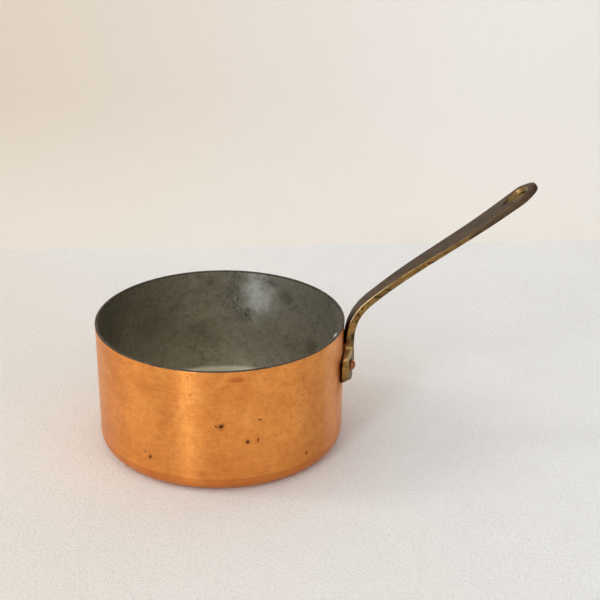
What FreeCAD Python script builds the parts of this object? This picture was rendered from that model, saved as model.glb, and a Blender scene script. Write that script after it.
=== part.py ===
import FreeCAD, Part
import math
import os

# Copper saucepan, tin lined, with a cast brass handle held by two copper rivets.
# Millimetres.  Origin: centre of the underside of the base.  +Z is up, the handle points along +X.

# --- driving dimensions: pan -------------------------------------------------------------
PAN_HEIGHT = 84.0          # base underside to the top of the lip
RIM_RADIUS = 80.0          # outside radius at the lip
FOOT_RADIUS = 79.1         # outside radius where the wall meets the bottom corner
CORNER_RADIUS = 10.0       # outside radius of the bottom corner
COPPER_THICKNESS = 1.5
TIN_THICKNESS = 0.2        # wiped lining, also turned over the lip

# --- driving dimensions: rivets ----------------------------------------------------------
RIVET_ANGLE = 12.9         # degrees either side of the handle
RIVET_HEIGHT = 59.8        # above the base underside
SHANK_RADIUS = 2.3
OUTER_HEAD_RADIUS = 3.8
OUTER_HEAD_RISE = 3.0
INNER_HEAD_RADIUS = 5.2
INNER_HEAD_RISE = 2.9
HEAD_SKIRT = 1.0           # the heads reach this far into the curved faces before they are trimmed

# --- driving dimensions: foot plate of the handle ----------------------------------------
PLATE_HALF_WIDTH = 24.0
PLATE_TOP = 65.8
PLATE_BOTTOM = 45.4        # middle of the bottom edge, on the outer face
PLATE_BOTTOM_SLOPE = 0.6   # the bottom edge drops toward the wall by this much per mm
PLATE_BOW_RADIUS = 38.0    # bowed bottom edge
PLATE_LOW_CORNER = 5.0
PLATE_HIGH_CORNER = 2.5
PLATE_NECK_HOLLOW = 2.0    # hollow corner between plate and neck
PLATE_STUB = 1.0           # the plate runs this far up inside the neck
PLATE_FACE_X = 85.7        # outer face at the middle, from the pan axis
PLATE_FACE_BEND = 95.0     # bend radius of the outer face
PLATE_BACK_X = 79.4        # the back is bent less than the wall, so the ends stand off it
PLATE_BACK_BEND = 220.0
PLATE_FACE_ROUND = 0.5
PLATE_BACK_ROUND = 0.9

# --- driving dimensions: stem ------------------------------------------------------------
# stations along the middle of the stem: distance from the pan axis, height, width, thickness
STEM_STATIONS = (
    (83.0, 50.0, 15.6, 5.0),
    (83.7, 63.0, 15.6, 5.1),
    (84.2, 77.5, 15.4, 5.2),
    (89.1, 89.5, 14.0, 4.8),
    (98.0, 99.0, 13.5, 4.6),
    (112.8, 111.3, 14.2, 4.5),
    (138.4, 130.1, 17.2, 3.9),
    (168.8, 152.1, 19.7, 4.0),
    (199.6, 176.2, 20.8, 4.2),
)
TOP_EDGE_ROUND = 0.5       # crisp long edges of the upper face
BOTTOM_EDGE_ROUND = 1.3    # softer edges underneath
TIP_DISTANCE = 197.6       # pan axis to the end of the handle, at the middle of its thickness
TIP_LENGTH = 17.0          # length of the rounded end

# --- driving dimensions: hanging hole ----------------------------------------------------
HOLE_BACK_FROM_TIP = 13.0  # centre of the round part
HOLE_RADIUS = 4.6
HOLE_TAIL = 8.6            # centre of the round part to the point of the drop
DISH_RADIUS = 6.9          # bevel around the hole, at the upper surface
DISH_TAIL = 13.0
DISH_DEPTH = 1.4

# --- worked out from the above -----------------------------------------------------------
BEYOND = 20.0              # how far cutting shapes run past the metal they cut
SKIM = 0.6                 # the same where there is little room
CLOSE = 0.02               # points nearer a face than this count as lying on it
COPPER_TOP = PAN_HEIGHT - TIN_THICKNESS
WALL_SLOPE = (RIM_RADIUS - FOOT_RADIUS) / (PAN_HEIGHT - CORNER_RADIUS)
Vector = FreeCAD.Vector
ORIGIN = Vector(0, 0, 0)
X_AXIS = Vector(1, 0, 0)
Y_AXIS = Vector(0, 1, 0)
Z_AXIS = Vector(0, 0, 1)


def line(a, b):
    return Part.makeLine(a, b)


def arc(a, middle, b):
    return Part.Arc(a, middle, b).toShape()


def turn(edges):
    """Solid of revolution about the pan axis from a closed outline in the XZ plane."""
    return Part.Face(Part.Wire(edges)).revolve(ORIGIN, Z_AXIS, 360)


def wall_radius(height):
    """Outside radius of the straight wall at a height."""
    return FOOT_RADIUS + WALL_SLOPE * (height - CORNER_RADIUS)


def cup_outline(inset, top):
    """Half outline of the pan moved inward by inset, from the axis up to the given height."""
    radius = CORNER_RADIUS - inset
    foot = FOOT_RADIUS - inset
    half = radius * math.sin(math.radians(45))
    start = Vector(0, 0, inset)
    flat_end = Vector(foot - radius, 0, inset)
    middle = Vector(foot - radius + half, 0, CORNER_RADIUS - half)
    wall_start = Vector(foot, 0, CORNER_RADIUS)
    wall_end = Vector(wall_radius(top) - inset, 0, top)
    return [line(start, flat_end), arc(flat_end, middle, wall_start), line(wall_start, wall_end)]


def filled_cup(inset, top):
    """Everything inside the pan outline moved inward by inset."""
    edges = cup_outline(inset, top)
    lip = edges[-1].lastVertex().Point
    edges.append(line(lip, Vector(0, 0, top)))
    edges.append(line(Vector(0, 0, top), Vector(0, 0, inset)))
    return turn(edges)


def radial(angle, radius, height):
    """Point at an angle about the pan axis, a radius and a height."""
    a = math.radians(angle)
    return Vector(radius * math.cos(a), radius * math.sin(a), height)


def rivet_hole(angle):
    """Cylinder the size of a rivet shank, through the wall and the foot plate."""
    start = radial(angle, RIM_RADIUS - BEYOND, RIVET_HEIGHT)
    return Part.makeCylinder(SHANK_RADIUS, 2 * BEYOND, start, radial(angle, 1, 0))


def with_rivet_holes(shape):
    for angle in (RIVET_ANGLE, -RIVET_ANGLE):
        shape = shape.cut(rivet_hole(angle))
    return shape.removeSplitter()


# --- pan -------------------------------------------------------------------------------
def make_body():
    shell = filled_cup(0, COPPER_TOP).cut(filled_cup(COPPER_THICKNESS, PAN_HEIGHT))
    return with_rivet_holes(shell)


def make_lining():
    lip = Part.makeCylinder(wall_radius(COPPER_TOP), TIN_THICKNESS, Vector(0, 0, COPPER_TOP))
    layer = filled_cup(COPPER_THICKNESS, PAN_HEIGHT).fuse(lip)
    return with_rivet_holes(layer.cut(filled_cup(COPPER_THICKNESS + TIN_THICKNESS, PAN_HEIGHT)))


# --- foot plate ------------------------------------------------------------------------
def plate_outline(x, bottom):
    """Front view of the foot plate at a distance x, Y across and Z up, with its stub of neck."""
    neck = STEM_STATIONS[1][2] / 2
    bow_z = bottom + PLATE_BOW_RADIUS
    low_y = PLATE_HALF_WIDTH - PLATE_LOW_CORNER
    low_z = bow_z - math.sqrt((PLATE_BOW_RADIUS - PLATE_LOW_CORNER) ** 2 - low_y ** 2)
    high_y = PLATE_HALF_WIDTH - PLATE_HIGH_CORNER
    high_z = PLATE_TOP - PLATE_HIGH_CORNER
    hollow_y = neck + PLATE_NECK_HOLLOW
    hollow_z = PLATE_TOP + PLATE_NECK_HOLLOW
    stub_z = hollow_z + PLATE_STUB

    def at(y, z):
        return Vector(x, y, z)

    def swing(y, z, radius, first, last):
        points = []
        for degrees in (first, (first + last) / 2, last):
            a = math.radians(degrees)
            points.append(at(y + radius * math.cos(a), z + radius * math.sin(a)))
        return arc(*points)

    turn_in = math.degrees(math.atan2(low_z - bow_z, low_y))
    right = [
        swing(0, bow_z, PLATE_BOW_RADIUS, -90, turn_in),
        swing(low_y, low_z, PLATE_LOW_CORNER, turn_in, 0),
        line(at(PLATE_HALF_WIDTH, low_z), at(PLATE_HALF_WIDTH, high_z)),
        swing(high_y, high_z, PLATE_HIGH_CORNER, 0, 90),
        line(at(high_y, PLATE_TOP), at(hollow_y, PLATE_TOP)),
        swing(hollow_y, hollow_z, PLATE_NECK_HOLLOW, 270, 180),
        line(at(neck, hollow_z), at(neck, stub_z)),
    ]
    left = [edge.mirror(ORIGIN, Y_AXIS) for edge in right]
    across = line(at(-neck, stub_z), at(neck, stub_z))
    return Part.Wire(Part.__sortEdges__(right + [across] + left))


def bent_block(x, bend):
    """Tall block whose outer face is a gentle cylinder passing through x on the centre line."""
    return Part.makeCylinder(bend, PAN_HEIGHT + BEYOND, Vector(x - bend, 0, 0))


def borders(plate, x, bend):
    """Edges that run round one face of the plate, without the edge hidden inside the neck."""
    found = []
    for edge in plate.Edges:
        middle = edge.valueAt((edge.FirstParameter + edge.LastParameter) / 2)
        points = [v.Point for v in edge.Vertexes] + [middle]
        on_face = all(abs(math.hypot(p.x - x + bend, p.y) - bend) < CLOSE for p in points)
        in_neck = min(p.z for p in points) > PLATE_TOP + PLATE_NECK_HOLLOW + PLATE_STUB / 2
        if on_face and not in_neck:
            found.append(edge)
    return found


def make_plate():
    wires = []
    for x in (PLATE_BACK_X - BEYOND, PLATE_FACE_X + BEYOND):
        wires.append(plate_outline(x, PLATE_BOTTOM + PLATE_BOTTOM_SLOPE * (x - PLATE_FACE_X)))
    plate = Part.makeLoft(wires, True, True)
    plate = plate.common(bent_block(PLATE_FACE_X, PLATE_FACE_BEND))
    plate = plate.cut(bent_block(PLATE_BACK_X, PLATE_BACK_BEND)).removeSplitter()
    plate = plate.makeFillet(PLATE_FACE_ROUND, borders(plate, PLATE_FACE_X, PLATE_FACE_BEND))
    return plate.makeFillet(PLATE_BACK_ROUND, borders(plate, PLATE_BACK_X, PLATE_BACK_BEND))


# --- stem ------------------------------------------------------------------------------
def stem_curve():
    curve = Part.BSplineCurve()
    curve.interpolate([Vector(x, 0, z) for x, z, width, thick in STEM_STATIONS])
    return curve


def section(centre, along, width, thick):
    """Closed outline square to the stem: flat top with crisp edges, softer edges underneath."""
    up = along.cross(Y_AXIS)
    w = width / 2
    t = thick / 2

    def at(y, h):
        return centre + Y_AXIS * y + up * h

    corners = []
    for y, h, r in ((w, t, TOP_EDGE_ROUND), (w, -t, BOTTOM_EDGE_ROUND),
                    (-w, -t, BOTTOM_EDGE_ROUND), (-w, t, TOP_EDGE_ROUND)):
        in_y = -math.copysign(r, y)
        in_h = -math.copysign(r, h)
        near = 1 - math.sin(math.radians(45))
        on_flat = at(y + in_y, h)
        bend = at(y + in_y * near, h + in_h * near)
        on_side = at(y, h + in_h)
        corners.append((on_flat, bend, on_side) if y * h > 0 else (on_side, bend, on_flat))
    edges = []
    for corner, following in zip(corners, corners[1:] + corners[:1]):
        edges.append(arc(*corner))
        edges.append(line(corner[2], following[0]))
    return Part.Wire(edges)


def make_stem():
    curve = stem_curve()
    wires = []
    for x, z, width, thick in STEM_STATIONS:
        point = Vector(x, 0, z)
        along = Vector(*curve.tangent(curve.parameter(point))[0])
        wires.append(section(point, along, width, thick))
    return Part.makeLoft(wires, True, False)


def tip_frame():
    """Point in the middle of the very end of the handle, with the directions along and up there."""
    before, last = STEM_STATIONS[-2:]
    along = Vector(last[0] - before[0], 0, last[1] - before[1])
    along.normalize()
    tip = Vector(last[0], 0, last[1]) + along * ((TIP_DISTANCE - last[0]) / along.x)
    return tip, along, along.cross(Y_AXIS)


def slab(edges, up):
    """Prism through the handle from an outline drawn in the plane of its middle."""
    face = Part.Face(Part.Wire(edges))
    face.translate(up * -BEYOND)
    return face.extrude(up * (2 * BEYOND))


def end_waste():
    """What is cut off the stem to leave it with an oval end."""
    tip, along, up = tip_frame()
    half = STEM_STATIONS[-1][2] / 2
    centre = tip - along * TIP_LENGTH
    out = along * (TIP_LENGTH + BEYOND)
    side = Y_AXIS * (half + BEYOND)
    corners = [centre - side, centre + side, centre + side + out, centre - side + out]
    block = [line(a, b) for a, b in zip(corners, corners[1:] + corners[:1])]
    oval = Part.Ellipse(tip, centre + Y_AXIS * half, centre).toShape()
    return slab(block, up).cut(slab([oval], up))


def drop(radius, tail, height):
    """Drop-shaped outline: round end toward the tip, point toward the pan."""
    tip, along, up = tip_frame()
    centre = tip - along * HOLE_BACK_FROM_TIP + up * height
    half_angle = math.asin(radius / tail)
    touch_y = radius * math.cos(half_angle)
    touch_s = -radius * math.sin(half_angle)
    point = centre - along * tail
    a = centre + along * touch_s + Y_AXIS * touch_y
    b = centre + along * touch_s - Y_AXIS * touch_y
    return Part.Wire([line(point, a), arc(a, centre + along * radius, b), line(b, point)])


def hanging_hole():
    """Drop-shaped hole, straight through, with a bevel round its upper mouth."""
    half = STEM_STATIONS[-1][3] / 2
    reach = half + SKIM
    grow = (DISH_DEPTH + SKIM) / DISH_DEPTH
    wide_radius = HOLE_RADIUS + (DISH_RADIUS - HOLE_RADIUS) * grow
    wide_tail = HOLE_TAIL + (DISH_TAIL - HOLE_TAIL) * grow
    ends = [drop(HOLE_RADIUS, HOLE_TAIL, -reach), drop(HOLE_RADIUS, HOLE_TAIL, reach)]
    mouth = [drop(HOLE_RADIUS, HOLE_TAIL, half - DISH_DEPTH), drop(wide_radius, wide_tail, reach)]
    return Part.makeLoft(ends, True, True).fuse(Part.makeLoft(mouth, True, True))


def make_handle():
    stem = make_stem().cut(end_waste()).cut(hanging_hole())
    handle = make_plate().fuse(stem).cut(filled_cup(0, COPPER_TOP))
    return with_rivet_holes(handle)


# --- rivets ----------------------------------------------------------------------------
def face_radius():
    """Distance from the pan axis to the plate face where the rivets pass through it."""
    a = math.radians(RIVET_ANGLE)
    centre = PLATE_FACE_X - PLATE_FACE_BEND
    return centre * math.cos(a) + math.sqrt(PLATE_FACE_BEND ** 2 - (centre * math.sin(a)) ** 2)


def dome(seat, radius, rise):
    """Arc from the crown of a rivet head down to its edge; a negative rise points to the pan axis."""
    ball = (radius ** 2 + rise ** 2) / (2 * rise)
    half = math.asin(radius / abs(ball)) / 2
    middle = Vector(seat + rise - ball * (1 - math.cos(half)), 0, abs(ball) * math.sin(half))
    return arc(Vector(seat + rise, 0, 0), middle, Vector(seat, 0, radius))


def rivet_blank(inside, face):
    """Rivet turned about the X axis: its heads sit at inside and face and reach a little past them."""
    steps = [
        Vector(inside, 0, INNER_HEAD_RADIUS),
        Vector(inside + HEAD_SKIRT, 0, INNER_HEAD_RADIUS),
        Vector(inside + HEAD_SKIRT, 0, SHANK_RADIUS),
        Vector(face - HEAD_SKIRT, 0, SHANK_RADIUS),
        Vector(face - HEAD_SKIRT, 0, OUTER_HEAD_RADIUS),
        Vector(face, 0, OUTER_HEAD_RADIUS),
    ]
    edges = [dome(inside, INNER_HEAD_RADIUS, -INNER_HEAD_RISE)]
    edges += [line(a, b) for a, b in zip(steps, steps[1:])]
    edges.append(dome(face, OUTER_HEAD_RADIUS, OUTER_HEAD_RISE))
    edges.append(line(Vector(face + OUTER_HEAD_RISE, 0, 0), Vector(inside - INNER_HEAD_RISE, 0, 0)))
    return Part.Face(Part.Wire(edges)).revolve(ORIGIN, X_AXIS, 360)


def make_rivet(angle):
    """One rivet, its two heads seated on the curved faces they clamp."""
    lining = COPPER_THICKNESS + TIN_THICKNESS
    rivet = rivet_blank(wall_radius(RIVET_HEIGHT) - lining, face_radius())
    rivet.translate(Vector(0, 0, RIVET_HEIGHT))
    rivet.rotate(ORIGIN, Z_AXIS, angle)
    clamped = bent_block(PLATE_FACE_X, PLATE_FACE_BEND).cut(filled_cup(lining, PAN_HEIGHT))
    return rivet.cut(clamped.cut(rivet_hole(angle)))


# --- write the parts -------------------------------------------------------------------
def write_parts():
    os.makedirs("parts", exist_ok=True)
    shapes = {
        "copper_body": make_body(),
        "tin_lining": make_lining(),
        "brass_handle": make_handle(),
        "rivet_left": make_rivet(RIVET_ANGLE),
        "rivet_right": make_rivet(-RIVET_ANGLE),
    }
    for name, shape in shapes.items():
        solid = shape.Solids[0]
        print(name, len(shape.Solids), "solid, valid", solid.isValid(), "mm3", round(solid.Volume))
        solid.exportStep("parts/" + name + ".step")


write_parts()
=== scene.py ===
import math

import bmesh
import bpy
from mathutils import Matrix, Vector, noise


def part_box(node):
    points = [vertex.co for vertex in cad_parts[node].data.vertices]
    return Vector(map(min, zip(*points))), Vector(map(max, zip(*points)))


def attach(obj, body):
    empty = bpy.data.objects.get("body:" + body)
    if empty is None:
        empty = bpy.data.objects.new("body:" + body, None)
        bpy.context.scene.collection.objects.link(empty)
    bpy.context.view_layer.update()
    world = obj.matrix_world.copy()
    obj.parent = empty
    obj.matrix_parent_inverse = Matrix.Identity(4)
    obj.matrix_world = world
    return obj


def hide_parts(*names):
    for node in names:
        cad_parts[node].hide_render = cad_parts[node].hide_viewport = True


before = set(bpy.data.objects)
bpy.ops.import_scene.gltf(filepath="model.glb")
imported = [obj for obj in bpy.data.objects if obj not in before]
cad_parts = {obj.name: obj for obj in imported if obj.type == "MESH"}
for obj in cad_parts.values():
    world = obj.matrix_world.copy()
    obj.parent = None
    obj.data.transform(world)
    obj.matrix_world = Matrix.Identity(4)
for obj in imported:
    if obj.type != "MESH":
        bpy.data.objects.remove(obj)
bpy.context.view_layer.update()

# Tin-lined copper saucepan with a riveted brass handle.
# Shapes are in metres, with lengths written as so many times MM.  Materials work in millimetres.
# The pan's axis is Z, the handle points along +X, and angles round the pan count from there.
MM = 0.001

# --- dimensions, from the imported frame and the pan's own section ---------------------------
RIM_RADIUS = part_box("copper_body")[1].x
COPPER_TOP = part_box("copper_body")[1].z
PAN_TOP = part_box("tin_lining")[1].z
FOOT_RADIUS = RIM_RADIUS - 0.9 * MM
CORNER_RADIUS = 10 * MM
CORNER_MIDDLE = Vector((FOOT_RADIUS - CORNER_RADIUS, CORNER_RADIUS))     # radius and height
COPPER_THICKNESS = 1.5 * MM
TIN_THICKNESS = 0.2 * MM
WALL_SLOPE = (RIM_RADIUS - FOOT_RADIUS) / (PAN_TOP - CORNER_RADIUS)
LIP_ROUND = 0.45 * MM
TIN_EDGE_DROP = 0.22 * MM      # the tin laps this far down the outside of the lip


# --- mesh helpers ---------------------------------------------------------------------------
WELD_DISTANCE = 0.002 * MM     # corners of the CAD mesh closer than this are one corner


def add_piece(name, mesh, node, material):
    """Show a finished mesh in place of a CAD node."""
    piece = bpy.data.objects.new(name, mesh)
    bpy.context.scene.collection.objects.link(piece)
    mesh.materials.clear()
    mesh.materials.append(material)
    for face in mesh.polygons:
        face.use_smooth = True
    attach(piece, "root")
    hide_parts(node)


def steps(a, b, count):
    """Points from a to b, both included."""
    return [a.lerp(b, i / count) for i in range(count + 1)]


def bend(centre, radius, start, end, count):
    """Points along an arc, angles in degrees."""
    points = []
    for i in range(count + 1):
        angle = math.radians(start + (end - start) * i / count)
        points.append(centre + radius * Vector((math.cos(angle), math.sin(angle))))
    return points


def turned(name, profile, segments, shift):
    """Closed mesh turned about the pan axis.  The profile holds (radius, height) points and its
    first and last point lie on the axis.  shift moves each point a little."""
    mesh = bpy.data.meshes.new(name)
    shape = bmesh.new()
    rings = []
    for radius, height in profile[1:-1]:
        ring = []
        for i in range(segments):
            angle = 2 * math.pi * i / segments
            point = Vector((radius * math.cos(angle), radius * math.sin(angle), height))
            ring.append(shape.verts.new(shift(point)))
        rings.append(ring)
    first = shape.verts.new((0, 0, profile[0].y))
    last = shape.verts.new((0, 0, profile[-1].y))
    for i in range(segments):
        j = (i + 1) % segments
        shape.faces.new((first, rings[0][j], rings[0][i]))
        shape.faces.new((last, rings[-1][i], rings[-1][j]))
        for low, high in zip(rings, rings[1:]):
            shape.faces.new((low[i], low[j], high[j], high[i]))
    bmesh.ops.recalc_face_normals(shape, faces=shape.faces)
    shape.to_mesh(mesh)
    shape.free()
    return mesh


def melt(mesh, share, rounds):
    """Round off parts of a mesh: share gives how far each point follows its neighbours."""
    shares = [share(vertex.co) for vertex in mesh.vertices]
    near = {i: [] for i, amount in enumerate(shares) if amount > 0}
    for edge in mesh.edges:
        a, b = edge.vertices
        if a in near:
            near[a].append(b)
        if b in near:
            near[b].append(a)
    places = [vertex.co.copy() for vertex in mesh.vertices]
    for _ in range(rounds):
        middles = {}
        for i, around in near.items():
            middles[i] = sum((places[j] for j in around), Vector()) / len(around)
        for i, middle in middles.items():
            places[i] = places[i].lerp(middle, 0.5 * shares[i])
    for i in near:
        mesh.vertices[i].co = places[i]
    mesh.update()


def worn_copy(node, name, voxel, wear, share=None, rounds=0):
    """Even mesh with softened edges from a CAD node, its surface then moved by wear."""
    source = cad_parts[node].data
    shape = bmesh.new()
    shape.from_mesh(source)
    bmesh.ops.remove_doubles(shape, verts=shape.verts, dist=WELD_DISTANCE)
    joined = bpy.data.meshes.new(name + "_joined")
    shape.to_mesh(joined)
    shape.free()
    helper = bpy.data.objects.new(name + "_helper", joined)
    bpy.context.scene.collection.objects.link(helper)
    remesh = helper.modifiers.new("even", "REMESH")
    remesh.mode = "VOXEL"
    remesh.voxel_size = voxel
    soften = helper.modifiers.new("soften", "SMOOTH")
    soften.factor = 0.5
    soften.iterations = 3
    graph = bpy.context.evaluated_depsgraph_get()
    mesh = bpy.data.meshes.new_from_object(helper.evaluated_get(graph))
    mesh.name = name
    bpy.data.objects.remove(helper)
    if rounds:
        melt(mesh, share, rounds)
    moved = [v.co + v.normal * wear(v.co, v.normal) for v in mesh.vertices]
    for vertex, place in zip(mesh.vertices, moved):
        vertex.co = place
    mesh.update()
    return mesh


def hills(point, size, seed=0.0):
    """Smooth noise between about -1 and 1 with features of a given size."""
    return noise.noise(point / size + Vector((seed, 1.7 * seed, -seed)))


# --- material helper ------------------------------------------------------------------------
class Graph:
    """Short way to write a shader: each method adds a node and returns its output."""

    def __init__(self, owner):
        self.owner = owner
        owner.use_nodes = True
        self.tree = owner.node_tree
        self.surface = next(node for node in self.tree.nodes if node.outputs)
        place = self.tree.nodes.new("ShaderNodeTexCoord").outputs["Object"]
        self.place = self.vector("SCALE", place, Scale=1 / MM)      # position in millimetres
        self.x, self.y, self.z = self.split(self.place)

    def put(self, socket, value):
        """Feed a socket with another node's output, a number, a vector or a colour."""
        if isinstance(value, bpy.types.NodeSocket):
            self.tree.links.new(value, socket)
        elif socket.type == "RGBA":
            socket.default_value = (*value, 1)
        else:
            socket.default_value = value

    def add(self, kind, inputs, **settings):
        node = self.tree.nodes.new(kind)
        for key, value in settings.items():
            setattr(node, key, value)
        for key, value in inputs.items():
            self.put(node.inputs[key], value)
        return node

    def vector(self, operation, *terms, **inputs):
        inputs = {**dict(enumerate(terms)), **inputs}
        node = self.add("ShaderNodeVectorMath", inputs, operation=operation)
        return node.outputs["Value" if operation in ("LENGTH", "DOT_PRODUCT") else "Vector"]

    def split(self, vector):
        return self.add("ShaderNodeSeparateXYZ", {0: vector}).outputs

    def calc(self, operation, a, b=0.0):
        return self.add("ShaderNodeMath", {0: a, 1: b}, operation=operation).outputs[0]

    def times(self, first, *more):
        for factor in more:
            first = self.calc("MULTIPLY", first, factor)
        return first

    def plus(self, start, extra, share):
        """start with a share of extra added."""
        return self.calc("ADD", start, self.calc("MULTIPLY", extra, share))

    def most(self, masks):
        """The highest of several masks."""
        total = masks[0]
        for mask in masks[1:]:
            total = self.calc("MAXIMUM", total, mask)
        return total

    def ramp(self, value, low, high):
        """0 below low, 1 above high, smooth between them; low may be the larger."""
        inputs = {"Value": value, "From Min": low, "From Max": high}
        return self.add("ShaderNodeMapRange", inputs, interpolation_type="SMOOTHSTEP").outputs[0]

    def band(self, value, start, full, last, end):
        """1 from full to last, fading to 0 at start and end."""
        return self.times(self.ramp(value, end, last), self.ramp(value, start, full))

    def level(self, amount, a, b):
        """A number that goes from a to b as amount goes from 0 to 1."""
        return self.add("ShaderNodeMix", {0: amount, 2: a, 3: b}, data_type="FLOAT").outputs[0]

    def blend(self, amount, a, b):
        """A colour that goes from a to b as amount goes from 0 to 1."""
        node = self.add("ShaderNodeMix", {0: amount}, data_type="RGBA")
        self.put(node.inputs["A"], a)
        self.put(node.inputs["B"], b)
        return node.outputs["Result"]

    def paint(self, tone, colour, mask, strength=1.0):
        """tone with a colour laid over it where the mask is high."""
        return self.blend(self.calc("MULTIPLY", mask, strength), tone, colour)

    def noise(self, size, detail=2.0, rough=0.5, stretch=(1, 1, 1), warp=0.0, seed=0.0, place=None):
        """Noise between 0 and 1 with features of about size millimetres, longer where stretched."""
        start = self.place if place is None else place
        scale = tuple(1 / (size * s) for s in stretch)
        shifted = self.vector("MULTIPLY_ADD", start, scale, (seed, seed * 1.3, -seed))
        inputs = {"Vector": shifted, "Scale": 1.0, "Detail": detail, "Roughness": rough}
        inputs["Distortion"] = warp
        return self.add("ShaderNodeTexNoise", inputs).outputs[0]

    def spot(self, centre, half_size, rotation=(0, 0, 0), edge=0.35, ragged=0.0):
        """1 inside an oval blot of half_size at centre, 0 outside, with a soft and uneven edge."""
        inputs = {"Vector": self.place, "Location": centre, "Scale": half_size, "Rotation": rotation}
        local = self.add("ShaderNodeMapping", inputs, vector_type="TEXTURE").outputs[0]
        reach = self.vector("LENGTH", local)
        if ragged:
            uneven = self.noise(max(half_size[1:]) * 0.8, detail=3)
            reach = self.plus(reach, self.calc("SUBTRACT", uneven, 0.5), ragged)
        return self.ramp(reach, 1 + edge, 1 - edge)

    def wall_spot(self, angle, height, radius, half_size, lean=0.0, edge=0.35, ragged=0.0):
        """A spot on a wall of a given radius, half_size being its depth, width and height."""
        a = math.radians(angle)
        centre = (radius * math.cos(a), radius * math.sin(a), height)
        return self.spot(centre, half_size, (math.radians(lean), 0, a), edge, ragged)

    def bump(self, height, distance, below=None):
        """Surface raised by height times distance, on top of the bumps below it."""
        inputs = {"Height": height, "Distance": distance * MM, "Strength": 1.0}
        node = self.add("ShaderNodeBump", inputs)
        if below is not None:
            self.put(node.inputs["Normal"], below)
        return node.outputs[0]

    def finish(self, **inputs):
        for key, value in inputs.items():
            self.put(self.surface.inputs[key.replace("_", " ")], value)
        return self.owner


# --- copper -----------------------------------------------------------------------------------
# colours are linear red, green and blue
COPPER = {
    "bright": (0.940, 0.373, 0.088),
    "warm": (0.800, 0.275, 0.060),
    "red": (0.66, 0.20, 0.045),
    "dull": (0.58, 0.19, 0.045),
    "rubbed": (0.97, 0.46, 0.14),
    "hairline": (0.50, 0.15, 0.035),
    "scratch": (0.50, 0.16, 0.04),
    "painted_reflection_band": (1.0, 0.52, 0.27),
    "shade_by_plate": (0.48, 0.20, 0.095),
    "low_wall": (0.60, 0.195, 0.040),
    "corner": (0.56, 0.15, 0.035),
    "painted_corner_line": (0.42, 0.12, 0.03),
    "smudge": (0.50, 0.115, 0.028),
    "halo": (0.46, 0.14, 0.04),
    "pit": (0.17, 0.050, 0.015),
}
# dark pits in the outside of the wall: angle, height, half width, half height, lean (mm, degrees)
WALL_PITS = (
    (-87.4, 47.0, 1.5, 1.4, 25),
    (-89.6, 47.2, 0.5, 0.7, 20),
    (-75.7, 35.4, 1.0, 1.2, 15),
    (-71.0, 35.6, 0.5, 1.0, 0),
    (-70.2, 49.5, 0.8, 0.5, 0),
    (-121.2, 19.7, 0.9, 1.3, -30),
    (-124.0, 22.4, 0.5, 0.5, 0),
    (-45.4, 16.5, 0.6, 0.9, 20),
    (38.0, 31.0, 0.8, 0.9, 10),
    (71.0, 58.0, 0.6, 0.8, 0),
    (103.0, 22.0, 0.9, 0.7, 30),
    (158.0, 41.0, 0.7, 1.0, -15),
)
# reddish smudges: angle, height, half width, half height (mm, degrees), strength
WALL_SMUDGES = (
    (-81.0, 78.2, 4.6, 1.7, 0.60),
    (-100.7, 68.0, 0.8, 0.6, 0.55),
    (-130.0, 76.0, 1.0, 4.0, 0.15),
    (-48.0, 70.0, 0.7, 5.0, 0.35),
    (-124.0, 68.0, 7.0, 4.0, 0.22),
    (-99.0, 14.0, 6.0, 3.0, 0.25),
    (-112.0, 52.0, 5.0, 9.0, 0.18),
    (-62.0, 60.0, 9.0, 5.0, 0.15),
    (60.0, 40.0, 8.0, 6.0, 0.25),
    (140.0, 60.0, 9.0, 5.0, 0.25),
)

# where the finish, the painted reflection and the painted shade change, in degrees from the handle or
# millimetres of height
REFLECTION_BAND_ANGLES = (14, 26, 29, 36)
SHADE_BY_PLATE_ANGLES = (24, 16)
ROUGH_BY_PLATE = (22, 19)
PLATE_HEIGHTS = (38, 44)
LOW_WALL = (42, 16)
# the wall is drawn toward the foot plate beside it: how far, and the middle and spread of the place
DRAWN_OUT = 1.1
DRAWN_ANGLE = 16
DRAWN_ANGLE_SPREAD = 5
DRAWN_HEIGHT = 55
DRAWN_HEIGHT_SPREAD = 11
COPPER_SEGMENTS = 480


def polished_copper(g, clouds, mottle, fine, brushed, hairline):
    """Base tone: clouded, rubbed in level strokes and finely scratched."""
    patches = g.ramp(g.level(0.4, clouds, mottle), 0.38, 0.64)
    tone = g.blend(patches, COPPER["bright"], COPPER["warm"])
    tone = g.paint(tone, COPPER["red"], g.ramp(mottle, 0.5, 0.75), 0.34)
    tone = g.paint(tone, COPPER["dull"], g.ramp(fine, 0.38, 0.70), 0.33)
    tone = g.paint(tone, COPPER["rubbed"], g.ramp(brushed, 0.48, 0.68), 0.50)
    tone = g.paint(tone, COPPER["hairline"], hairline, 0.22)
    upright = g.noise(0.7, detail=2, stretch=(1, 12, 12), warp=0.6, seed=21)
    scratches = g.times(g.ramp(upright, 0.62, 0.72), g.ramp(clouds, 0.55, 0.40))
    return g.paint(tone, COPPER["scratch"], scratches, 0.50)


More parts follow.
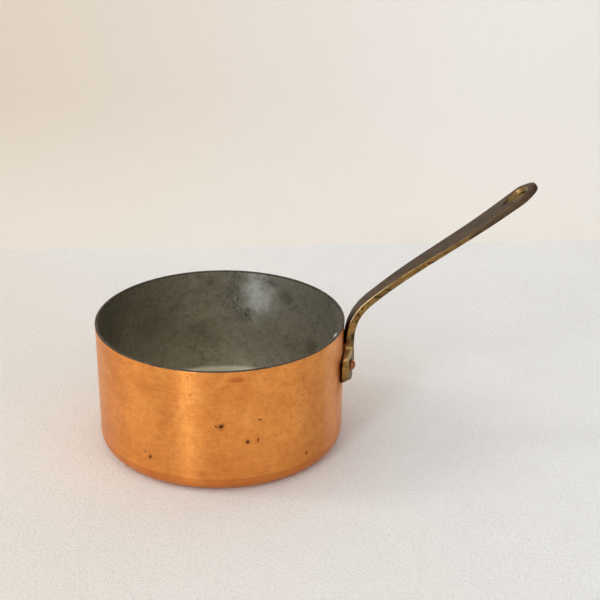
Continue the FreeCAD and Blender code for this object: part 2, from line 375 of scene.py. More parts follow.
def copper_zones(g, tone, from_handle, mottle):
    """A painted reflection as a pale band on each side of the handle, painted shade by the foot
    plate, a darker low wall, and painted shade in the bottom corner with a painted line where the
    corner starts."""
    corner_top = CORNER_RADIUS / MM
    # painted reflection: lighter copper in a band on each side of the handle
    tone = g.paint(tone, COPPER["painted_reflection_band"], g.band(from_handle, *REFLECTION_BAND_ANGLES), 0.22)
    # painted shade: darker copper beside the foot plate
    tone = g.paint(tone, COPPER["shade_by_plate"], g.ramp(from_handle, *SHADE_BY_PLATE_ANGLES), 0.30)
    tone = g.paint(tone, COPPER["low_wall"], g.ramp(g.z, *LOW_WALL), 0.20)
    # painted shade: the bottom corner is darker
    shaded_corner = g.ramp(g.plus(g.z, mottle, 1.2), corner_top + 0.6, corner_top - 0.6)
    tone = g.paint(tone, COPPER["corner"], shaded_corner, 0.30)
    # painted dark line where the corner starts, standing for the sharp edge of the corner's
    # reflection
    painted_corner_line = g.band(g.z, corner_top - 1.4, corner_top - 0.6, corner_top - 0.2, corner_top + 0.4)
    return g.paint(tone, COPPER["painted_corner_line"], painted_corner_line, 0.30)


def copper_marks(g, tone):
    """Adds the smudges and pits, and also returns where the pits are."""
    wall = RIM_RADIUS / MM
    smudges = []
    for angle, height, wide, tall, strength in WALL_SMUDGES:
        blot = g.wall_spot(angle, height, wall, (6, wide, tall), edge=0.6, ragged=1.4)
        smudges.append(g.times(blot, strength))
    tone = g.paint(tone, COPPER["smudge"], g.most(smudges))
    cores = []
    halos = []
    for angle, height, wide, tall, lean in WALL_PITS:
        core_size = (4, wide, 0.9 * tall)
        halo_size = (4, 1.6 * wide, 1.5 * tall)
        cores.append(g.wall_spot(angle, height, wall, core_size, lean, edge=0.4, ragged=1.6))
        halos.append(g.wall_spot(angle, height, wall, halo_size, lean, edge=0.7, ragged=1.6))
    tone = g.paint(tone, COPPER["halo"], g.most(halos), 0.7)
    pits = g.most(cores)
    return g.paint(tone, COPPER["pit"], pits), pits


def copper_material():
    g = Graph(bpy.data.materials.new("copper_polished"))
    clouds = g.noise(24, detail=5, rough=0.65, stretch=(1, 1, 0.9), warp=0.8)
    mottle = g.noise(5, detail=4, rough=0.7, warp=0.5, seed=3.1)
    fine = g.noise(1.3, detail=3, rough=0.6, seed=4.4)
    brushed = g.noise(1.0, detail=4, rough=0.7, stretch=(18, 18, 0.5), seed=5.0)
    curls = g.noise(9, detail=2, stretch=(1, 1, 2.4), warp=1.5, seed=8)
    hairline = g.ramp(g.calc("ABSOLUTE", g.calc("SUBTRACT", curls, 0.5)), 0.010, 0.0)
    angle = g.calc("MULTIPLY", g.calc("ARCTAN2", g.y, g.x), 180 / math.pi)
    from_handle = g.calc("ABSOLUTE", angle)

    tone = polished_copper(g, clouds, mottle, fine, brushed, hairline)
    tone = copper_zones(g, tone, from_handle, mottle)
    tone, pits = copper_marks(g, tone)

    by_plate = g.times(g.ramp(from_handle, *ROUGH_BY_PLATE), g.ramp(g.z, *PLATE_HEIGHTS))
    rough = g.plus(0.25, clouds, 0.12)
    rough = g.plus(rough, brushed, 0.10)
    rough = g.plus(rough, pits, 0.35)
    rough = g.plus(rough, by_plate, 0.15)

    normal = g.bump(brushed, 0.010)
    normal = g.bump(mottle, 0.05, below=normal)
    normal = g.bump(g.calc("ADD", fine, hairline), 0.03, below=normal)
    normal = g.bump(g.times(pits, -1), 0.15, below=normal)
    around = g.add("ShaderNodeTangent", {}, direction_type="RADIAL", axis="Z").outputs[0]
    return g.finish(Base_Color=tone, Metallic=1.0, Roughness=rough, Normal=normal,
                    Anisotropic=0.95, Anisotropic_Rotation=0.25, Tangent=around)


def wall_radius(height):
    """Outside radius of the straight wall."""
    return FOOT_RADIUS + WALL_SLOPE * (height - CORNER_RADIUS)


def copper_dents(point):
    """Slight dents in the outside of the wall, none at the lip and none under the foot.  Beside
    the handle's foot plate the wall is also drawn out toward it."""
    out = Vector((point.x, point.y, 0))
    under_foot = out.length < FOOT_RADIUS - CORNER_RADIUS / 2
    inner_face = out.length < wall_radius(point.z) - COPPER_THICKNESS / 2
    if under_foot or inner_face:
        return point
    below_lip = min(1, (COPPER_TOP - point.z) / (6 * MM))
    depth = 0.10 * hills(point, 34 * MM, 2) + 0.035 * hills(point, 11 * MM, 5)
    angle = abs(math.degrees(math.atan2(point.y, point.x)))
    beside = (angle - DRAWN_ANGLE) / DRAWN_ANGLE_SPREAD
    above = (point.z / MM - DRAWN_HEIGHT) / DRAWN_HEIGHT_SPREAD
    depth += DRAWN_OUT * math.exp(-beside ** 2 - above ** 2)
    return point + out.normalized() * (depth * MM * max(0, below_lip))


def make_copper():
    inner_radius = CORNER_RADIUS - COPPER_THICKNESS
    inner_top = Vector((wall_radius(COPPER_TOP) - COPPER_THICKNESS, COPPER_TOP))
    lip = Vector((wall_radius(COPPER_TOP) - LIP_ROUND, COPPER_TOP - LIP_ROUND))
    outside = steps(Vector((0, 0)), Vector((CORNER_MIDDLE.x, 0)), 12)
    outside += bend(CORNER_MIDDLE, CORNER_RADIUS, -90, 0, 14)[1:]
    outside += steps(outside[-1], lip + Vector((LIP_ROUND, 0)), 72)[1:]
    outside += bend(lip, LIP_ROUND, 0, 90, 3)[1:]
    inside = [inner_top]
    inside += steps(inner_top, Vector((FOOT_RADIUS - COPPER_THICKNESS, CORNER_RADIUS)), 10)[1:]
    inside += bend(CORNER_MIDDLE, inner_radius, 0, -90, 6)[1:]
    inside += steps(inside[-1], Vector((0, COPPER_THICKNESS)), 4)[1:]
    mesh = turned("pan_copper", outside + inside, COPPER_SEGMENTS, copper_dents)
    add_piece("pan_copper", mesh, "copper_body", copper_material())


# --- tin lining -------------------------------------------------------------------------------
TIN = {
    "light": (0.50, 0.47, 0.39),
    "grey": (0.40, 0.365, 0.285),
    "toward_handle": (0.62, 0.60, 0.54),
    "far_side": (0.20, 0.175, 0.13),
    "grime": (0.22, 0.19, 0.145),
    "wiped": (0.34, 0.31, 0.25),
    "pepper": (0.16, 0.14, 0.105),
    "painted_pale_reflection": (0.93, 0.96, 0.95),
    "daub": (0.07, 0.07, 0.062),
    "blot": (0.17, 0.15, 0.115),
    "speck": (0.12, 0.10, 0.08),
    "swept": (0.60, 0.57, 0.48),
    "low_wall": (0.20, 0.175, 0.13),
    "stain": (0.13, 0.112, 0.085),
    "floor": (0.86, 0.83, 0.70),
    "lip": (0.115, 0.10, 0.08),
    "lip_dark": (0.06, 0.05, 0.04),
}
# dark daubs beside the painted pale reflection: angle, height, half width, half height (mm, degrees),
# raggedness
TIN_DAUBS = (
    (84.5, 76, 4.2, 12, 2.4),
    (85.5, 62, 5, 9, 2.4),
    (80.5, 52, 5.5, 6, 2.4),
    (66, 78, 8, 2.6, 2.6),
)
# soft dark blots: angle, height, half width, half height (mm, degrees), softness of the edge
TIN_BLOTS = (
    (106, 40, 9, 6, 0.9),
    (128, 50, 14, 12, 0.9),
    (57, 70, 5, 4, 0.8),
    (40, 38, 5, 7, 0.8),
    (98, 76, 3, 3, 0.8),
)
TIN_SPOT_DEPTH = 9             # how far a spot reaches through the wall
LINED_WALL = COPPER_THICKNESS + TIN_THICKNESS
TIN_FACE = (FOOT_RADIUS - LINED_WALL) / MM
# where the tone changes, in millimetres along X or of height
HANDLE_SIDE = (14, 50)
HIGH_WALL = (30, 55)
FAR_SIDE = (26, -40)
STAINED_SIDE = (25, -30)
SWEPT_WALL = (52, 34)
DARK_LOW_WALL = (56, 34)
CORNER_HIGHLIGHT_HEIGHTS = (13.0, 9.5)
TIN_PROUD = 0.04 * MM          # the lapped edge stands this far proud of the copper
TIN_SUNK = 0.02 * MM           # and starts this far inside the copper's face
TIN_SEGMENTS = 400


def worn_tin(g, clouds, grime, wiped):
    """Base tone: lighter toward the handle, darker and peppered away from it."""
    tone = g.blend(g.ramp(clouds, 0.3, 0.7), TIN["light"], TIN["grey"])
    toward_handle = g.times(g.ramp(g.x, *HANDLE_SIDE), g.ramp(g.z, *HIGH_WALL))
    tone = g.paint(tone, TIN["toward_handle"], toward_handle, 0.50)
    far_side = g.ramp(g.plus(g.x, clouds, 40), *FAR_SIDE)
    tone = g.paint(tone, TIN["far_side"], far_side, 0.62)
    tone = g.paint(tone, TIN["grime"], g.ramp(grime, 0.46, 0.68), 0.62)
    tone = g.paint(tone, TIN["wiped"], g.ramp(wiped, 0.45, 0.8), 0.2)
    peppered = g.ramp(g.noise(1.2, detail=4, rough=0.7, seed=41), 0.48, 0.64)
    return g.paint(tone, TIN["pepper"], peppered, g.level(far_side, 0.25, 0.70))


def tin_daubs(g):
    """Ragged dark strokes beside the painted pale reflection."""
    strokes = g.noise(1.5, detail=4, rough=0.7, stretch=(1, 1, 1.9), warp=1.4, seed=15.0)
    daubs = []
    for angle, height, wide, tall, ragged in TIN_DAUBS:
        size = (TIN_SPOT_DEPTH, wide, tall)
        daubs.append(g.wall_spot(angle, height, TIN_FACE, size, edge=0.9, ragged=ragged))
    return g.times(g.most(daubs), g.ramp(strokes, 0.36, 0.60))


def tin_blots(g):
    """Soft dark stains on the wall."""
    blots = []
    for angle, height, wide, tall, edge in TIN_BLOTS:
        size = (TIN_SPOT_DEPTH, wide, tall)
        blots.append(g.wall_spot(angle, height, TIN_FACE, size, edge=edge, ragged=1.6))
    return g.most(blots)


def tin_low_wall(g, tone):
    """The low wall is darker with level wipe marks, stained away from the handle, and the bottom
    corner and floor are painted pale, a painted highlight for the light the corner catches."""
    swept = g.ramp(g.noise(1.1, detail=3, stretch=(26, 26, 0.6), warp=0.3, seed=31), 0.50, 0.66)
    tone = g.paint(tone, TIN["swept"], g.times(swept, g.ramp(g.z, *SWEPT_WALL)), 0.20)
    tone = g.paint(tone, TIN["low_wall"], g.ramp(g.z, *DARK_LOW_WALL), 0.20)
    stained = g.ramp(g.noise(12, detail=4, rough=0.65, warp=1.0, seed=51), 0.50, 0.62)
    tone = g.paint(tone, TIN["stain"], g.times(stained, g.ramp(g.x, *STAINED_SIDE)), 0.34)
    # painted highlight: the bottom corner and the floor painted pale
    return g.paint(tone, TIN["floor"], g.ramp(g.z, *CORNER_HIGHLIGHT_HEIGHTS), 0.95)


def tin_material():
    g = Graph(bpy.data.materials.new("tin_lining_worn"))
    clouds = g.noise(22, detail=5, rough=0.6, warp=0.8, seed=1.0)
    grime = g.noise(5, detail=5, rough=0.7, warp=1.2, seed=4.0)
    wiped = g.noise(1.6, detail=4, rough=0.65, stretch=(8, 8, 1), seed=7.0)
    specks = g.ramp(g.noise(1.7, detail=2, seed=12.0), 0.73, 0.78)

    # painted reflection: a pale bluish patch high on the back wall, standing in for light reflected
    # by the tin
    painted_pale_reflection = g.wall_spot(74, 67, TIN_FACE, (TIN_SPOT_DEPTH, 10, 15), edge=0.9, ragged=2.2)
    painted_pale_reflection = g.times(painted_pale_reflection, g.level(g.ramp(grime, 0.40, 0.62), 0.72, 0.50))
    daubs = tin_daubs(g)

    tone = worn_tin(g, clouds, grime, wiped)
    tone = g.paint(tone, TIN["painted_pale_reflection"], painted_pale_reflection)
    tone = g.paint(tone, TIN["daub"], daubs, 0.85)
    tone = g.paint(tone, TIN["blot"], tin_blots(g), 0.6)
    tone = g.paint(tone, TIN["speck"], specks)
    tone = tin_low_wall(g, tone)
    lip_tone = g.blend(g.ramp(grime, 0.4, 0.6), TIN["lip"], TIN["lip_dark"])
    lip_height = PAN_TOP / MM
    tone = g.blend(g.ramp(g.z, lip_height - 1.1, lip_height - 0.5), tone, lip_tone)

    rough = g.plus(0.34, grime, 0.22)
    rough = g.level(painted_pale_reflection, rough, 0.58)
    rough = g.plus(rough, daubs, 0.15)
    normal = g.bump(wiped, 0.03)
    normal = g.bump(grime, 0.06, below=normal)
    normal = g.bump(daubs, 0.04, below=normal)
    return g.finish(Base_Color=tone, Metallic=1.0, Roughness=rough, Normal=normal)


def tin_waves(point):
    """Uneven lower edge where the tin laps over the lip, and slight waves in the wall and floor."""
    out = Vector((point.x, point.y, 0))
    rim = wall_radius(COPPER_TOP)
    in_wall = wall_radius(point.z) - LINED_WALL
    on_edge = out.length > rim - 0.1 * MM and point.z < COPPER_TOP - 0.1 * MM
    on_wall = abs(out.length - in_wall) < 0.05 * MM and CORNER_RADIUS < point.z < PAN_TOP - 3 * MM
    on_floor = abs(point.z - LINED_WALL) < 0.02 * MM and out.length < CORNER_MIDDLE.x
    if on_edge:
        return point + Vector((0, 0, 0.12 * MM * hills(point, 3 * MM, 8)))
    if on_wall:
        depth = 0.05 * hills(point, 30 * MM, 11) + 0.02 * hills(point, 8 * MM, 3)
        return point - out.normalized() * (abs(depth) * MM)
    if on_floor:
        return point + Vector((0, 0, 0.04 * MM * abs(hills(point, 26 * MM, 6))))
    return point


def make_tin():
    rim = wall_radius(COPPER_TOP)
    lapped = COPPER_TOP - TIN_EDGE_DROP
    outer_edge = Vector((rim + TIN_PROUD - LIP_ROUND, PAN_TOP - LIP_ROUND))
    inner_edge = Vector((rim - LINED_WALL + LIP_ROUND, PAN_TOP - LIP_ROUND))
    back = steps(Vector((0, COPPER_THICKNESS)), Vector((CORNER_MIDDLE.x, COPPER_THICKNESS)), 4)
    back += bend(CORNER_MIDDLE, CORNER_RADIUS - COPPER_THICKNESS, -90, 0, 6)[1:]
    back += steps(back[-1], Vector((rim - COPPER_THICKNESS, COPPER_TOP)), 10)[1:]
    back += [Vector((rim - LIP_ROUND, COPPER_TOP)), Vector((rim - TIN_SUNK, lapped))]
    front = [Vector((rim + TIN_PROUD, lapped))]
    front += bend(outer_edge, LIP_ROUND, 0, 90, 4)
    front += bend(inner_edge, LIP_ROUND, 90, 180, 4)
    front += steps(front[-1], Vector((FOOT_RADIUS - LINED_WALL, CORNER_RADIUS)), 66)[1:]
    front += bend(CORNER_MIDDLE, CORNER_RADIUS - LINED_WALL, 0, -90, 12)[1:]
    front += steps(front[-1], Vector((0, LINED_WALL)), 34)[1:]
    mesh = turned("pan_tin", back + front, TIN_SEGMENTS, tin_waves)
    add_piece("pan_tin", mesh, "tin_lining", tin_material())


# --- brass handle -------------------------------------------------------------------------------
BRASS = {
    "gold": (0.38, 0.222, 0.072),
    "gold_deep": (0.17, 0.094, 0.032),
    "gold_grain": (0.085, 0.048, 0.018),
    "gold_filed": (0.52, 0.33, 0.125),
    "brown": (0.108, 0.070, 0.042),
    "brown_deep": (0.062, 0.040, 0.025),
    "brown_filed": (0.17, 0.115, 0.066),
    "brown_grain": (0.050, 0.034, 0.022),
    "gap_shade": (0.012, 0.008, 0.005),
    "bevel": (0.28, 0.180, 0.072),
    "bevel_deep": (0.15, 0.094, 0.038),
    "bevel_shade": (0.055, 0.036, 0.022),
    "ear_top_highlight": (0.70, 0.49, 0.22),
    "neck_foot": (0.115, 0.080, 0.055),
    "stain": (0.035, 0.022, 0.014),
    "edge_wear_and_highlight": (0.88, 0.66, 0.36),
}
# dark stains and nicks on the handle: centre, half size along X, Y and Z, tilt (mm, radians)
HANDLE_STAINS = (
    ((91.0, -7.4, 93.6), (0.8, 2.0, 1.4), 0.4),
    ((88.6, -7.4, 89.0), (0.6, 2.0, 1.2), 0.0),
    ((87.4, -7.6, 84.5), (0.6, 2.0, 1.2), 0.0),
    ((85.2, -7.7, 74.0), (0.8, 2.0, 3.0), 0.0),
    ((100.5, -6.6, 101.5), (3.2, 2.0, 0.8), 0.0),
    ((107.0, -6.6, 106.5), (2.0, 2.0, 0.7), 0.0),
    ((132.0, -8.0, 125.6), (1.0, 2.0, 0.7), 0.0),
    ((134.8, -8.2, 125.6), (1.6, 2.5, 1.0), 0.0),
    ((157.0, -9.2, 141.8), (0.35, 2.5, 1.6), 0.0),
    ((159.0, -9.4, 143.4), (0.35, 2.5, 1.5), 0.0),
    ((161.0, -9.5, 144.8), (0.35, 2.5, 1.6), 0.0),
    ((120.0, 7.6, 117.0), (2.0, 2.0, 0.8), 0.0),
    ((150.0, 9.2, 138.0), (1.5, 2.0, 1.0), 0.0),
)
STEM_RISE = math.radians(38.0)          # slope of the stem near its end
HOLE_MIDDLE = (185.4, 0.0, 166.9)       # middle of the drop at the upper face, mm
STEM_END = 188 * MM                     # from here to the tip the stem's edges are rounded off
EAR_TOP_BAND = (59 * MM, 72 * MM)       # the ears' upper corners lie between these heights
PLATE_TOP = 68 * MM
NECK_HALF_WIDTH = 7 * MM
NECK_FOOT = 66 * MM
NECK_TOP = 90 * MM
NECK_BELLY = 1.1                        # mm that the neck's inner face is filled out
EAR_FILL = 0.4                          # mm that the backs of the ears are filled out
EAR_BACK_TOP = 64 * MM
MELT_ROUNDS = 50
HANDLE_VOXEL = 0.4 * MM
# where the brass changes tone, and where painted shade and highlights lie, in mm: along X, and in
# height
BROWN_END = (150, 174)
SHADED_BEVEL = (183, 179)
SHARP_EDGES = (124, 100)
ABOVE_PLATE = (76, 84)
NECK_GAP_SHADE = (92, 84)
EAR_TOP_HIGHLIGHT = (60, 62, 66.8, 69)
NECK_EDGES = (79, 85)


def tarnished_brass(g, facing, clouds, grain, filed, dull):
    """Golden flanks, brown where the mask is dull, and painted shade on the neck's face toward the
    pan.
    """
    golden = g.blend(g.ramp(clouds, 0.3, 0.7), BRASS["gold"], BRASS["gold_deep"])
    golden = g.paint(golden, BRASS["gold_grain"], g.ramp(grain, 0.50, 0.66), 0.85)
    golden = g.paint(golden, BRASS["gold_filed"], g.ramp(filed, 0.52, 0.70), 0.4)
    brown = g.blend(g.ramp(clouds, 0.35, 0.65), BRASS["brown"], BRASS["brown_deep"])
    brown = g.paint(brown, BRASS["brown_filed"], g.ramp(filed, 0.45, 0.68), 0.6)
    brown = g.paint(brown, BRASS["brown_grain"], g.ramp(grain, 0.52, 0.7), 0.4)
    tone = g.blend(dull, golden, brown)
    # painted shade: the neck's face toward the pan, in the gap beside the wall, painted near black
    shaded_gap = g.times(g.ramp(facing[0], -0.55, -0.80), g.ramp(g.z, *NECK_GAP_SHADE))
    return g.paint(tone, BRASS["gap_shade"], shaded_gap)


def hole_bevel(g, normal):
    """Mask of the bevel round the hanging hole's upper mouth."""
    square_to_face = (-math.sin(STEM_RISE), 0, math.cos(STEM_RISE))
    around_hole = g.spot(HOLE_MIDDLE, (10.0, 7.4, 5.0), (0, -STEM_RISE, 0), edge=0.06)
    tipped = g.ramp(g.vector("DOT_PRODUCT", normal, square_to_face), 0.985, 0.94)
    return g.times(around_hole, tipped)


def ear_tops(g, facing):
    """Mask of the ears' upper edges, which get a painted highlight."""
    return g.times(g.ramp(facing[2], 0.35, 0.7), g.band(g.z, *EAR_TOP_HIGHLIGHT))


def handle_stains(g):
    """Mask of the dark stains and nicks."""
    stains = []
    for centre, half_size, tilt in HANDLE_STAINS:
        stains.append(g.spot(centre, half_size, (tilt, 0, 0), edge=0.5, ragged=1.0))
    return g.most(stains)


def edge_wear_and_highlight_mask(g, facing, inward, grain):
    """Mask of worn edges with a painted highlight on the neck's ridge, strong on the neck and almost
    gone along the stem.
    """
    convex = g.ramp(g.add("ShaderNodeNewGeometry", {}).outputs["Pointiness"], 0.54, 0.62)
    sideways = g.calc("ABSOLUTE", facing[1])
    aslant = g.band(sideways, 0.25, 0.45, 0.80, 0.95)
    ridge_highlight = g.times(aslant, g.ramp(inward, 0.25, 0.5), g.ramp(g.z, *NECK_EDGES))
    near_bend = g.ramp(g.plus(g.x, grain, 24), *SHARP_EDGES)
    return g.times(g.most([convex, ridge_highlight]), g.level(near_bend, 0.02, 1.0))


def brass_material():
    g = Graph(bpy.data.materials.new("brass_tarnished"))
    surface_normal = g.add("ShaderNodeNewGeometry", {}).outputs["Normal"]
    facing = g.split(surface_normal)
    along_stem = g.add("ShaderNodeVectorRotate", {"Vector": g.place, "Angle": STEM_RISE},
                       rotation_type="Y_AXIS").outputs[0]
    clouds = g.noise(10, detail=4, rough=0.6, seed=2.0)
    grain = g.noise(1.4, detail=5, rough=0.7, seed=6.0)
    filed = g.noise(0.7, detail=3, rough=0.6, stretch=(14, 1, 1), seed=3.0, place=along_stem)

    inward = g.calc("SUBTRACT", g.times(facing[2], 0.9), facing[0])     # up and toward the pan
    upper = g.times(g.ramp(inward, 0.80, 1.10), g.ramp(g.z, *ABOVE_PLATE))
    outward = g.times(g.ramp(facing[0], 0.75, 0.95), 0.75)
    not_below = g.ramp(facing[2], -0.62, -0.40)
    far_end = g.times(g.ramp(g.plus(g.x, clouds, 16), *BROWN_END), not_below)
    dull = g.most([upper, outward, far_end])
    tone = tarnished_brass(g, facing, clouds, grain, filed, dull)

    bevel = hole_bevel(g, surface_normal)
    bevel_tone = g.blend(g.ramp(grain, 0.3, 0.7), BRASS["bevel"], BRASS["bevel_deep"])
    bevel_tone = g.paint(bevel_tone, BRASS["bevel_shade"], g.ramp(g.x, *SHADED_BEVEL))
    tone = g.blend(bevel, tone, bevel_tone)

    ear_top_highlight = ear_tops(g, facing)
    # painted highlight: the ears' upper edges lighter than the golden brass
    tone = g.paint(tone, BRASS["ear_top_highlight"], ear_top_highlight, 0.9)
    neck_foot = g.spot((87, 0, 70), (7, 16, 5.5), edge=0.5, ragged=0.5)
    neck_foot = g.times(neck_foot, g.ramp(g.z, PLATE_TOP / MM - 1.5, PLATE_TOP / MM))
    tone = g.paint(tone, BRASS["neck_foot"], neck_foot, 0.65)
    stains = handle_stains(g)
    tone = g.paint(tone, BRASS["stain"], stains, 0.85)
    edge = edge_wear_and_highlight_mask(g, facing, inward, grain)
    # worn edges rubbed bright, and a painted highlight along the neck's ridge
    tone = g.paint(tone, BRASS["edge_wear_and_highlight"], edge)

    rough = g.level(dull, 0.33, 0.44)
    rough = g.plus(rough, grain, 0.12)
    rough = g.plus(rough, edge, -0.16)
    rough = g.level(bevel, rough, 0.20)
    rough = g.level(ear_top_highlight, rough, 0.50)
    normal = g.bump(grain, 0.07)
    normal = g.bump(filed, 0.02, below=normal)
    normal = g.bump(g.times(stains, -1), 0.25, below=normal)
    return g.finish(Base_Color=tone, Metallic=1.0, Roughness=rough, Normal=normal)


def handle_melt(point):
    """How strongly a point is melted into its surroundings: ear tops and the very end."""
    if point.x > STEM_END:
        return min(1, (point.x - STEM_END) / (5 * MM))
    low, high = EAR_TOP_BAND
    return 1.0 if low < point.z < high and abs(point.y) > NECK_HALF_WIDTH else 0.0


def handle_wear(point, normal):
    """Cast surface, rougher on the foot plate, with a fuller back where it meets the pan."""
    roughness = 1.4 if point.z < PLATE_TOP else 0.5
    depth = 0.10 * hills(point, 7 * MM, 4) + 0.05 * hills(point, 2.5 * MM, 9)
    belly = max(0, -normal.x) * max(0, 1 - (point.y / NECK_HALF_WIDTH) ** 2)
    rise = (point.z - NECK_FOOT) / (3 * MM)
    fall = (NECK_TOP - point.z) / (8 * MM)
    belly *= max(0, min(1, rise, fall))
    on_ear_back = normal.x < -0.7 and point.z < EAR_BACK_TOP and abs(point.y) > 2 * NECK_HALF_WIDTH
    fill = EAR_FILL if on_ear_back else 0
    return MM * (roughness * depth + NECK_BELLY * belly + fill)


def make_handle():
    name = "handle_brass"
    mesh = worn_copy("brass_handle", name, HANDLE_VOXEL, handle_wear, handle_melt, MELT_ROUNDS)
    add_piece(name, mesh, "brass_handle", brass_material())


# --- rivets ---------------------------------------------------------------------------------------
RIVET = {
    "light": (0.42, 0.15, 0.055),
    "deep": (0.20, 0.065, 0.026),
    "seat": (0.045, 0.022, 0.012),
    "tinned": (0.90, 0.88, 0.82),
}
# painted shade: a dark ring under the outer head's edge
HEAD_SHADE_RING = (87.0, 86.2)       # from the pan axis: the outer head's edge, dark under it
TINNED_SIDE = (79.0, 78.4)     # from the pan axis: inside this the rivet is tinned
RIVET_VOXEL = 0.2 * MM


def rivet_material():
    g = Graph(bpy.data.materials.new("copper_rivet"))
    grain = g.noise(1.5, detail=4, rough=0.6, seed=1.5)
    from_axis = g.calc("SQRT", g.calc("ADD", g.times(g.x, g.x), g.times(g.y, g.y)))
    tone = g.blend(g.ramp(grain, 0.4, 0.7), RIVET["light"], RIVET["deep"])
    # painted shade under the outer head
    tone = g.paint(tone, RIVET["seat"], g.ramp(from_axis, *HEAD_SHADE_RING))
    tone = g.paint(tone, RIVET["tinned"], g.ramp(from_axis, *TINNED_SIDE))
    rough = g.plus(0.28, grain, 0.2)
    return g.finish(Base_Color=tone, Metallic=1.0, Roughness=rough, Normal=g.bump(grain, 0.08))


def hammered(point, normal):
    """Hammer marks, wherever the surface faces."""
    return MM * 0.10 * hills(point, 2.2 * MM, 3)


def make_rivets():
    material = rivet_material()
    for side in ("left", "right"):
        node = "rivet_" + side
        name = node + "_copper"
        mesh = worn_copy(node, name, RIVET_VOXEL, hammered)
        add_piece(name, mesh, node, material)


# --- floor, light and camera ------------------------------------------------------------------------
PLASTER = {
    "warm": (0.93, 0.89, 0.835),
    "cool": (0.975, 0.975, 0.97),
    "patch": (0.88, 0.865, 0.84),
    "grit": (0.66, 0.63, 0.59),
    "pore": (0.42, 0.36, 0.30),
}
CLOTH = {
    "warm": (0.75, 0.635, 0.51),
    "pale": (0.90, 0.855, 0.815),
    "near_floor": (0.94, 0.89, 0.81),
    "patch": (0.80, 0.72, 0.62),
}
CAMERA_AZIMUTH = 3.0          # degrees to the right of straight in front
CAMERA_DISTANCE = 0.88297     # from the pan axis, level
CAMERA_HEIGHT = 0.47849
CAMERA_HEADING = 0.328        # degrees to the right of straight ahead
CAMERA_PITCH = -23.434
CAMERA_ROLL = 0.356
CAMERA_LENS = 90.15

BACKDROP_BEHIND = 0.340        # behind the pan axis
BACKDROP_TURN = 3.0            # degrees
BACKDROP_ENDS = (-1.6, 0.5)    # its left and right ends along X
BACKDROP_HEIGHT = 1.5
DIM_SIDE = 12.0                # the room is dimmer toward this angle round the pan
DIM_EDGES = (26, 18)           # degrees from there where the dimness starts and is full
ROOM_LIGHT = 0.90
ROOM_LIGHT_DIM = 0.33
FLOOR_REACH = 3.0


def plane(name, corners, material):
    """Flat four-cornered sheet that belongs to the stage, not to the pan."""
    mesh = bpy.data.meshes.new(name)
    mesh.from_pydata(corners, [], [(0, 1, 2, 3)])
    mesh.materials.append(material)
    thing = bpy.data.objects.new(name, mesh)
    bpy.context.scene.collection.objects.link(thing)


def plaster_material():
    g = Graph(bpy.data.materials.new("floor_plaster"))
    patches = g.noise(70, detail=4, rough=0.55, seed=2.0)
    gritty = g.noise(1.9, detail=5, rough=0.75)
    lumps = g.noise(6, detail=4, rough=0.6, seed=9.0)
    pores = g.ramp(g.noise(2.2, detail=3, rough=0.65, seed=5.0), 0.69, 0.76)
    # painted light: the floor darker and warmer toward the left and front, paler and cooler toward
    # the right and back, for uneven light on it
    tone = g.blend(g.ramp(g.plus(g.x, g.y, 0.6), -220, 260), PLASTER["warm"], PLASTER["cool"])
    tone = g.paint(tone, PLASTER["patch"], g.ramp(patches, 0.35, 0.7), 0.25)
    tone = g.paint(tone, PLASTER["grit"], g.ramp(gritty, 0.50, 0.64), 0.34)
    tone = g.paint(tone, PLASTER["pore"], pores, 0.45)
    normal = g.bump(gritty, 1.2)
    normal = g.bump(lumps, 0.6, below=normal)
    normal = g.bump(g.times(pores, -1), 0.4, below=normal)
    return g.finish(Base_Color=tone, Roughness=0.85, Specular_IOR_Level=0.2, Normal=normal)


def cloth_material():
    """Pale cloth that the camera sees through from behind."""
    g = Graph(bpy.data.materials.new("backdrop_cloth"))
    patches = g.noise(120, detail=3, rough=0.5, seed=1.0)
    # painted light: the cloth darker and warmer toward the left, paler toward the right, for uneven
    # light on it
    tone = g.blend(g.ramp(g.x, -350, 250), CLOTH["warm"], CLOTH["pale"])
    tone = g.paint(tone, CLOTH["near_floor"], g.ramp(g.z, 150, 5), 0.7)
    tone = g.paint(tone, CLOTH["patch"], patches, 0.2)
    weave = g.noise(0.9, detail=2, stretch=(3, 3, 0.5), seed=3.0)
    g.finish(Base_Color=tone, Roughness=0.95, Specular_IOR_Level=0.1, Normal=g.bump(weave, 0.2))
    behind = g.add("ShaderNodeNewGeometry", {}).outputs["Backfacing"]
    looking = g.add("ShaderNodeLightPath", {}).outputs["Is Camera Ray"]
    clear = g.add("ShaderNodeBsdfTransparent", {}).outputs[0]
    inputs = {0: g.times(behind, looking), 1: g.surface.outputs[0], 2: clear}
    both = g.add("ShaderNodeMixShader", inputs).outputs[0]
    g.put(g.tree.nodes["Material Output"].inputs["Surface"], both)
    return g.owner


def make_stage():
    far = FLOOR_REACH
    floor_corners = [(-far, -far, 0), (far, -far, 0), (far, far, 0), (-far, far, 0)]
    plane("floor", floor_corners, plaster_material())
    slope = math.tan(math.radians(BACKDROP_TURN))
    left, right = [(x, BACKDROP_BEHIND + x * slope) for x in BACKDROP_ENDS]
    top = BACKDROP_HEIGHT
    corners = [(*left, 0), (*right, 0), (*right, top), (*left, top)]
    plane("backdrop", corners, cloth_material())


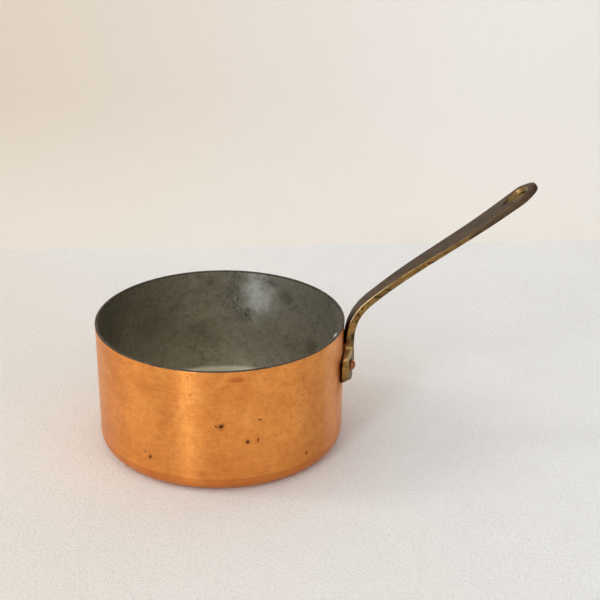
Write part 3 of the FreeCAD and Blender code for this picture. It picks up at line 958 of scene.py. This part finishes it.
def area_light(name, angle, elevation, distance, size, power, tint):
    """Soft light aimed at the pan from an angle round it and an elevation, in degrees."""
    data = bpy.data.lights.new(name, "AREA")
    data.shape = "RECTANGLE"
    data.size, data.size_y = size
    data.energy = power
    data.color = tint
    a = math.radians(angle)
    e = math.radians(elevation)
    away = Vector((math.cos(a) * math.cos(e), math.sin(a) * math.cos(e), math.sin(e)))
    lamp = bpy.data.objects.new(name, data)
    lamp.location = away * distance + Vector((0, 0, PAN_TOP / 2))
    lamp.rotation_euler = away.to_track_quat("Z", "Y").to_euler()
    bpy.context.scene.collection.objects.link(lamp)


def make_light():
    area_light("key", angle=175, elevation=39, distance=4.5, size=(1.5, 1.5), power=41,
               tint=(1.0, 0.96, 0.91))
    area_light("window", angle=-117, elevation=27, distance=2.4, size=(0.38, 1.3), power=12.5,
               tint=(0.78, 0.91, 1.0))
    g = Graph(bpy.data.worlds.new("soft_room"))
    looking = g.add("ShaderNodeTexCoord", {}).outputs["Generated"]
    level = g.vector("NORMALIZE", g.vector("MULTIPLY", looking, (1, 1, 0)))
    a = math.radians(DIM_SIDE)
    toward = g.vector("DOT_PRODUCT", level, (math.cos(a), math.sin(a), 0))
    start, full = [math.cos(math.radians(edge)) for edge in DIM_EDGES]
    strength = g.level(g.ramp(toward, start, full), ROOM_LIGHT, ROOM_LIGHT_DIM)
    bpy.context.scene.world = g.finish(Color=(1, 1, 1), Strength=strength)


def make_camera():
    azimuth = math.radians(CAMERA_AZIMUTH)
    heading = math.radians(CAMERA_HEADING)
    pitch = math.radians(CAMERA_PITCH)
    data = bpy.data.cameras.new("camera")
    data.lens = CAMERA_LENS
    data.sensor_width = 36
    camera = bpy.data.objects.new("camera", data)
    bpy.context.scene.collection.objects.link(camera)
    level = math.cos(pitch)
    ahead = Vector((math.sin(heading) * level, math.cos(heading) * level, math.sin(pitch)))
    right = ahead.cross(Vector((0, 0, 1))).normalized()
    up = right.cross(ahead)
    roll = math.radians(CAMERA_ROLL)
    side = math.cos(roll) * right + math.sin(roll) * up
    top = math.cos(roll) * up - math.sin(roll) * right
    place = Vector((math.sin(azimuth), -math.cos(azimuth), 0)) * CAMERA_DISTANCE
    place += Vector((0, 0, CAMERA_HEIGHT))
    turn = Matrix((side, top, -ahead)).transposed().to_4x4()
    camera.matrix_world = Matrix.Translation(place) @ turn
    bpy.context.scene.camera = camera


make_copper()
make_tin()
make_handle()
make_rivets()
make_stage()
make_light()
make_camera()
bpy.context.scene.view_settings.view_transform = "Standard"
